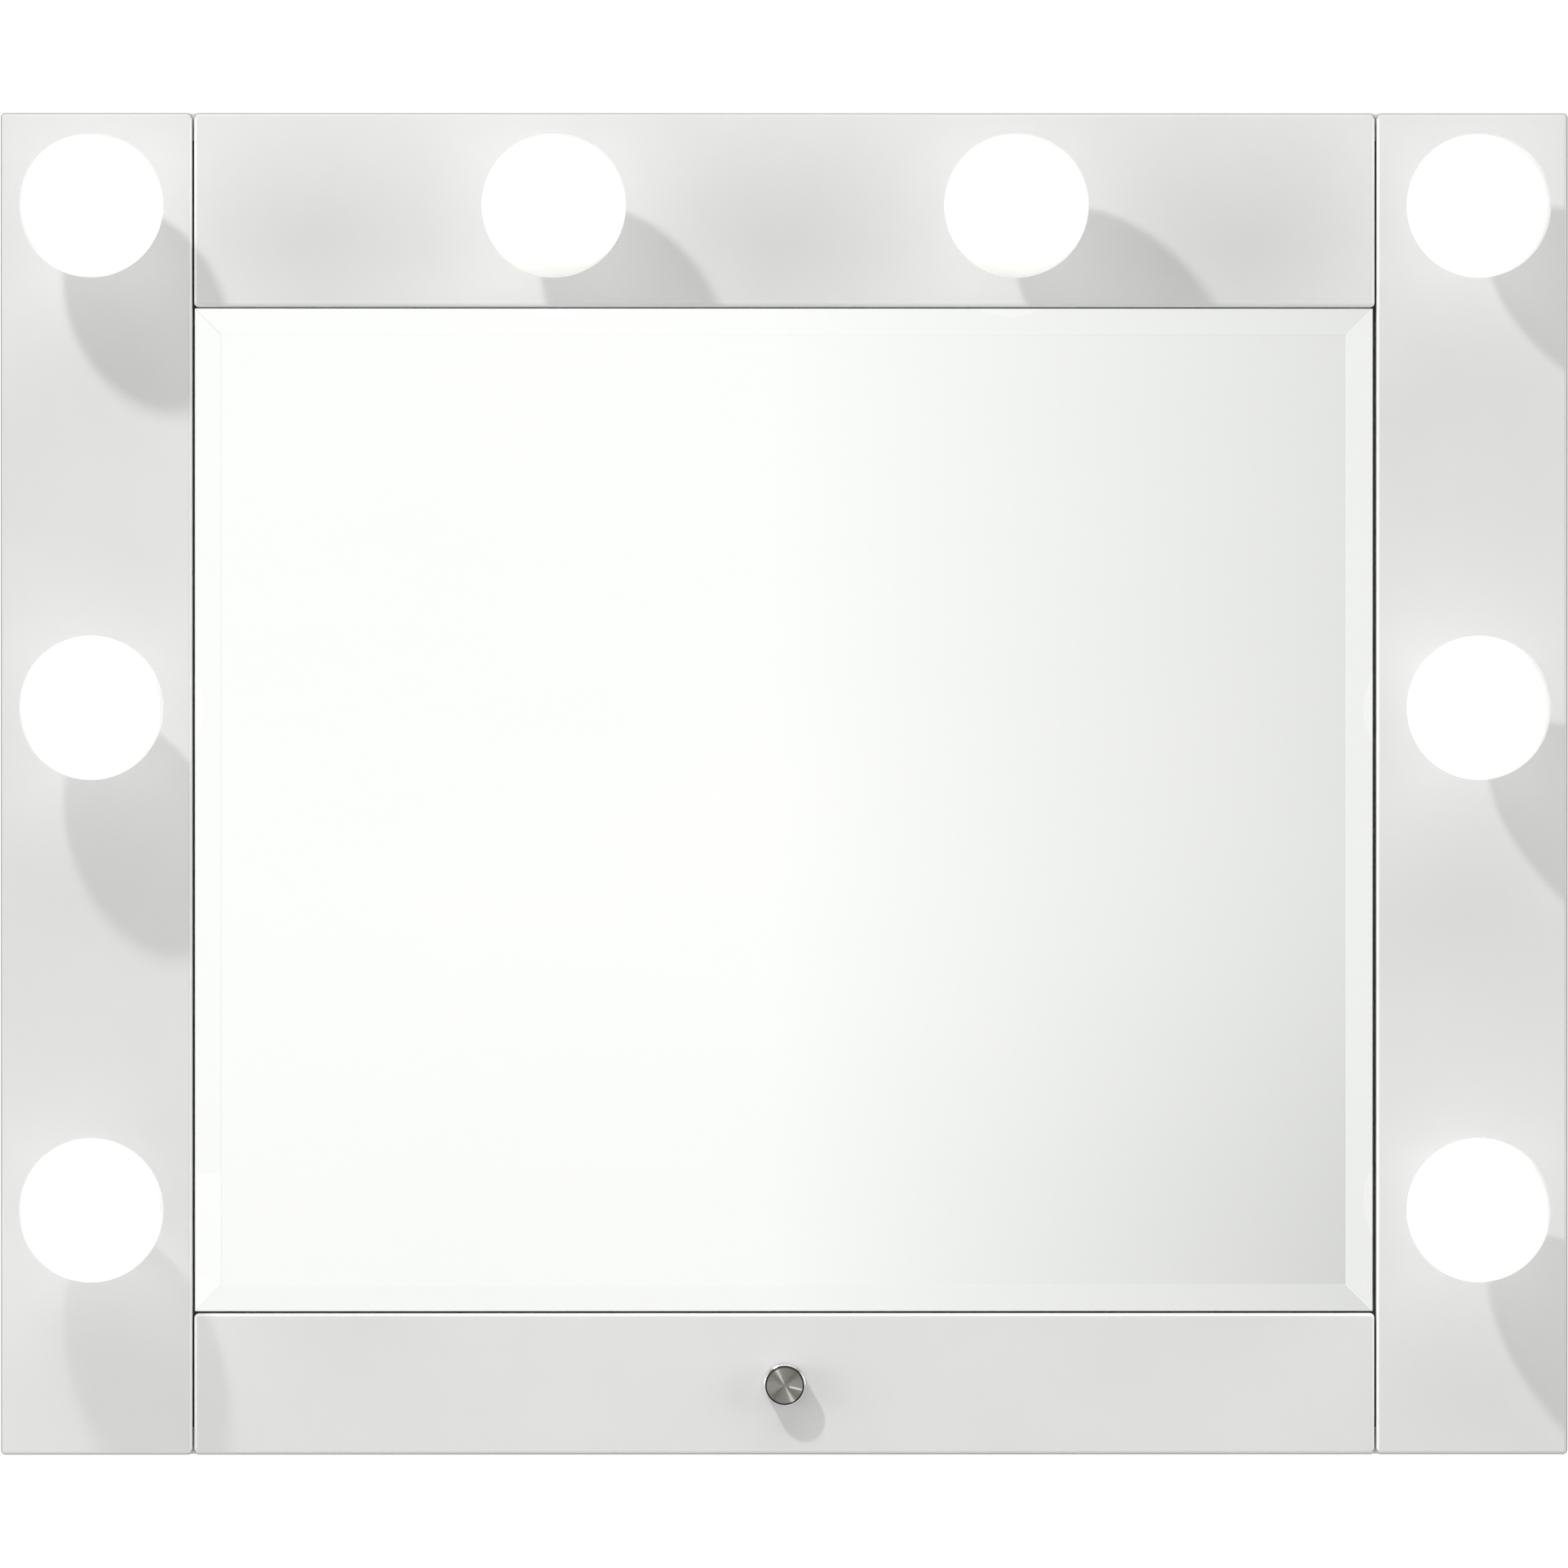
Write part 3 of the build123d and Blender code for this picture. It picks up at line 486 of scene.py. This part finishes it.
finishes = {
    "white_lacquer": white_lacquer(),
    "fibreboard": fibreboard(),
    # Painted shade: dark grey for the board behind the gaps, where only shade falls.
    "dark_primer": dark_primer(),
    "coated_hardboard": coated_hardboard(),
    "clear_glass": clear_glass(),
    "silvering": silvering(),
    "foam_tape": foam_tape(),
    "porcelain": porcelain(),
    "white_plastic": white_plastic(),
    "frosted_glass": frosted_glass(),
    "black_glass": black_glass(),
    "spun_aluminium": spun_aluminium(),
    "zinc_plate": zinc_plate(),
}
for name, shades in metals.items():
    finishes[name] = rolled_metal(name, *shades)
for name, shades in plastics.items():
    finishes[name] = moulded_plastic(name, *shades)
for name, piece in frame["nodes"].items():
    piece.data.materials.clear()
    piece.data.materials.append(finishes[slots[name]])


# ---- Silvering ------------------------------------------------------------------------------
def plate(name, low, high):
    """A flat closed plate between two corners."""
    mesh = bpy.data.meshes.new(name)
    shape = bmesh.new()
    bmesh.ops.create_cube(shape, size=1.0)
    size = high - low
    for vertex in shape.verts:
        vertex.co = Vector([low[i] + (vertex.co[i] + 0.5) * size[i] for i in range(3)])
    shape.to_mesh(mesh)
    shape.free()
    piece = bpy.data.objects.new(name, mesh)
    bpy.context.scene.collection.objects.link(piece)
    return piece


# The coat is bonded to the glass, so its bright face lies just inside the glass's rear face,
# where light meets it without first leaving the glass.
bond_depth = 0.00006
bare_border = 0.0004
bond = Vector((0.0, -bond_depth, 0.0))
border = Vector((bare_border, 0.0, bare_border))
silver_low, silver_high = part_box("mirror_silvering")
coat = plate("silver_coat", silver_low + border + bond, silver_high - border + bond)
coat.data.materials.append(finishes["silvering"])
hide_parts("mirror_silvering")
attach(coat, "frame")


# ---- Camera and floor -----------------------------------------------------------------------
def aimed(name, data, place, aim):
    """Sets up a camera or a lamp at a place, turned towards its aim."""
    piece = bpy.data.objects.new(name, data)
    piece.location = place
    piece.rotation_euler = (aim - place).to_track_quat("-Z", "Y").to_euler()
    bpy.context.scene.collection.objects.link(piece)
    return piece


# Nearly straight on, a little left of and above the middle, with the frame filling the width.
camera_distance = 6.7
camera_offset = Vector((-0.038, 0.0, 0.024))
camera_aim = Vector((-0.0003, face_y, 0.0))
frame_width_seen = 0.8765
lens_data = bpy.data.cameras.new("camera")
lens_data.sensor_width = 36.0
lens_data.lens = lens_data.sensor_width * camera_distance / frame_width_seen
lens_data.clip_end = 100.0
camera_place = camera_aim + camera_offset + Vector((0.0, -camera_distance, 0.0))
bpy.context.scene.camera = aimed("camera", lens_data, camera_place, camera_aim)

floor_drop = 0.3
floor_side = 6.0
floor_front = -8.0
floor_back = 3.1
floor_z = bottom_z - floor_drop
floor_corners = [
    (-floor_side, floor_front, floor_z),
    (floor_side, floor_front, floor_z),
    (floor_side, floor_back, floor_z),
    (-floor_side, floor_back, floor_z),
]
floor_mesh = bpy.data.meshes.new("floor")
floor_mesh.from_pydata(floor_corners, [], [(0, 1, 2, 3)])
floor_mesh.materials.append(pale_floor())
floor = bpy.data.objects.new("floor", floor_mesh)
bpy.context.scene.collection.objects.link(floor)

# ---- Lamps ----------------------------------------------------------------------------------
# The key is small and close, up on the left. Its cone fades towards the lower left.
key_place = Vector((-0.823, face_y - 1.0, 1.19))
key_aim = Vector((0.4, face_y, 0.5))
key_cone = math.radians(90)
key_cone_fade = 0.7
key_size = 0.055
key_strength = 1.5

# The fill is broad and weak, low on the left.
fill_place = Vector((-0.62, face_y - 0.3, -0.5))
fill_aim = Vector((-0.38, face_y, -0.28))
fill_size = 0.6
fill_energy = 0.74


def key_light():
    """A spot as bright far off as near, which throws the globes' shadows down to the right."""
    data = bpy.data.lights.new("key", "SPOT")
    data.spot_size = key_cone
    data.spot_blend = key_cone_fade
    data.shadow_soft_size = key_size
    data.use_nodes = True
    tree = data.node_tree
    falloff = tree.nodes.new("ShaderNodeLightFalloff")
    falloff.inputs["Strength"].default_value = key_strength
    tree.links.new(falloff.outputs["Constant"], tree.nodes["Emission"].inputs["Strength"])
    aimed("key", data, key_place, key_aim)


def fill_light():
    """A panel that lifts the shadow of the lowest left lamp."""
    data = bpy.data.lights.new("fill", "AREA")
    data.size = fill_size
    data.energy = fill_energy
    aimed("fill", data, fill_place, fill_aim)


key_light()
fill_light()

# ---- Surroundings ---------------------------------------------------------------------------
# A light tent round the mirror. Places in it are directions: parts of a unit vector across to
# the right, along to the rear, and up. Each fade runs between two of them.
dim = 0.215
top_light = 2.05
top_fade = (0.66, 0.8)
side_light = 3.08
side_fade = (0.69, 0.83)
behind = 0.15
behind_fade = (-0.3, -0.1)
plain_backdrop = 1.05

# A white panel in front of the mirror fills the directions that the glass reflects: straight
# back from its flat, 7 degrees off from its bevels. It is shaded on the right, at the foot, and
# in the wing that the left bevel sees, and a little brighter past its right side and its foot.
panel_light = 1.075
panel_reach = 0.12
panel_along = -0.9
card_fade = (0.0045, 0.054)
card_end = 0.066
card_depth = 0.224
foot_fade = (-0.006, -0.052)
foot_end_fade = (-0.080, -0.064)
foot_depth = 0.035
foot_depth_on_card = 0.08
wing_end = -0.063
wing_depth = 0.055
far_foot_end = -0.066
far_depth = -0.065

# In it a dim strip runs round between the flat's and the bevels' directions, so that from the
# front only the lacquer reflects it. These are its inner and outer edges.
strip_depth = 0.6
inner_across = (-0.0422, 0.060)
inner_up = (-0.0462, 0.0395)
outer_across = (-0.0635, 0.0735)
outer_up = (-0.064, 0.057)


class Sky(Graph):
    """The world's nodes: brightness as a function of direction."""

    def __init__(self, name):
        self.world = bpy.data.worlds.new(name)
        self.world.use_nodes = True
        super().__init__(self.world.node_tree)
        self.tree.nodes.clear()
        direction = self.add("ShaderNodeTexCoord").outputs["Generated"]
        self.across, self.along, self.up = self.split(direction)

    def inside(self, across_limits, up_limits):
        """1 in a rectangle of directions and 0 outside it."""
        in_width = self.between(self.across, *across_limits)
        in_height = self.between(self.up, *up_limits)
        return self.math("MULTIPLY", in_width, in_height)

    def emitter(self, colour, strength):
        node = self.add("ShaderNodeBackground")
        node.inputs["Color"].default_value = colour
        self.feed(node.inputs["Strength"], strength)
        return node.outputs[0]


def tent(sky):
    """Bright sides and top, a dim front, and little light behind the mirror."""
    sideways = sky.math("ABSOLUTE", sky.across)
    walls = sky.blend(sky.fade(sky.up, *top_fade), dim, top_light)
    walls = sky.blend(sky.fade(sideways, *side_fade), walls, side_light)
    return sky.blend(sky.fade(sky.along, *behind_fade), walls, behind)


def panel(sky):
    """The white panel in front, less its shades."""
    across, up = sky.across, sky.up
    card = sky.spread(across, *card_fade, 0.0, 1.0)
    card = sky.math("MULTIPLY", card, sky.math("LESS_THAN", across, card_end))
    foot = sky.math("MULTIPLY", sky.fade(up, *foot_fade), sky.fade(up, *foot_end_fade))
    left_wing = sky.math("LESS_THAN", across, wing_end)
    past_card = sky.math("GREATER_THAN", across, card_end)
    past_foot = sky.math("LESS_THAN", up, far_foot_end)
    far_sides = sky.math("ADD", past_card, past_foot)

    card_shade = sky.math("MULTIPLY", card, card_depth)
    foot_shade = sky.math("MULTIPLY_ADD", card, foot_depth_on_card, foot_depth)
    foot_shade = sky.math("MULTIPLY", foot, foot_shade)
    wing_shade = sky.math("MULTIPLY", left_wing, wing_depth)
    shade = sky.math("ADD", card_shade, sky.math("ADD", foot_shade, wing_shade))
    shade = sky.math("MULTIPLY_ADD", far_sides, far_depth, shade)
    return sky.math("MULTIPLY", sky.math("SUBTRACT", 1.0, shade), panel_light)


def panel_share(sky):
    """How far the panel hides the tent: wholly within its reach, partly in the strip."""
    outer = sky.inside(outer_across, outer_up)
    inner = sky.inside(inner_across, inner_up)
    strip = sky.math("SUBTRACT", outer, inner)
    reach = (-panel_reach, panel_reach)
    share = sky.inside(reach, reach)
    share = sky.math("MULTIPLY", share, sky.math("LESS_THAN", sky.along, panel_along))
    return sky.math("MULTIPLY", share, sky.math("MULTIPLY_ADD", strip, -strip_depth, 1.0))


def studio():
    """The surroundings, and behind the mirror a plain white backdrop."""
    sky = Sky("studio")
    brightness = sky.blend(panel_share(sky), tent(sky), panel(sky))
    choose = sky.add("ShaderNodeMixShader")
    sky.link(sky.add("ShaderNodeLightPath").outputs["Is Camera Ray"], choose.inputs[0])
    sky.link(sky.emitter((1.0, 0.998, 0.992, 1.0), brightness), choose.inputs[1])
    sky.link(sky.emitter((1.0, 1.0, 1.0, 1.0), plain_backdrop), choose.inputs[2])
    sky.link(choose.outputs[0], sky.add("ShaderNodeOutputWorld").inputs["Surface"])
    bpy.context.scene.world = sky.world


studio()
bpy.context.scene.view_settings.view_transform = "Standard"
bpy.context.scene.view_settings.look = "None"
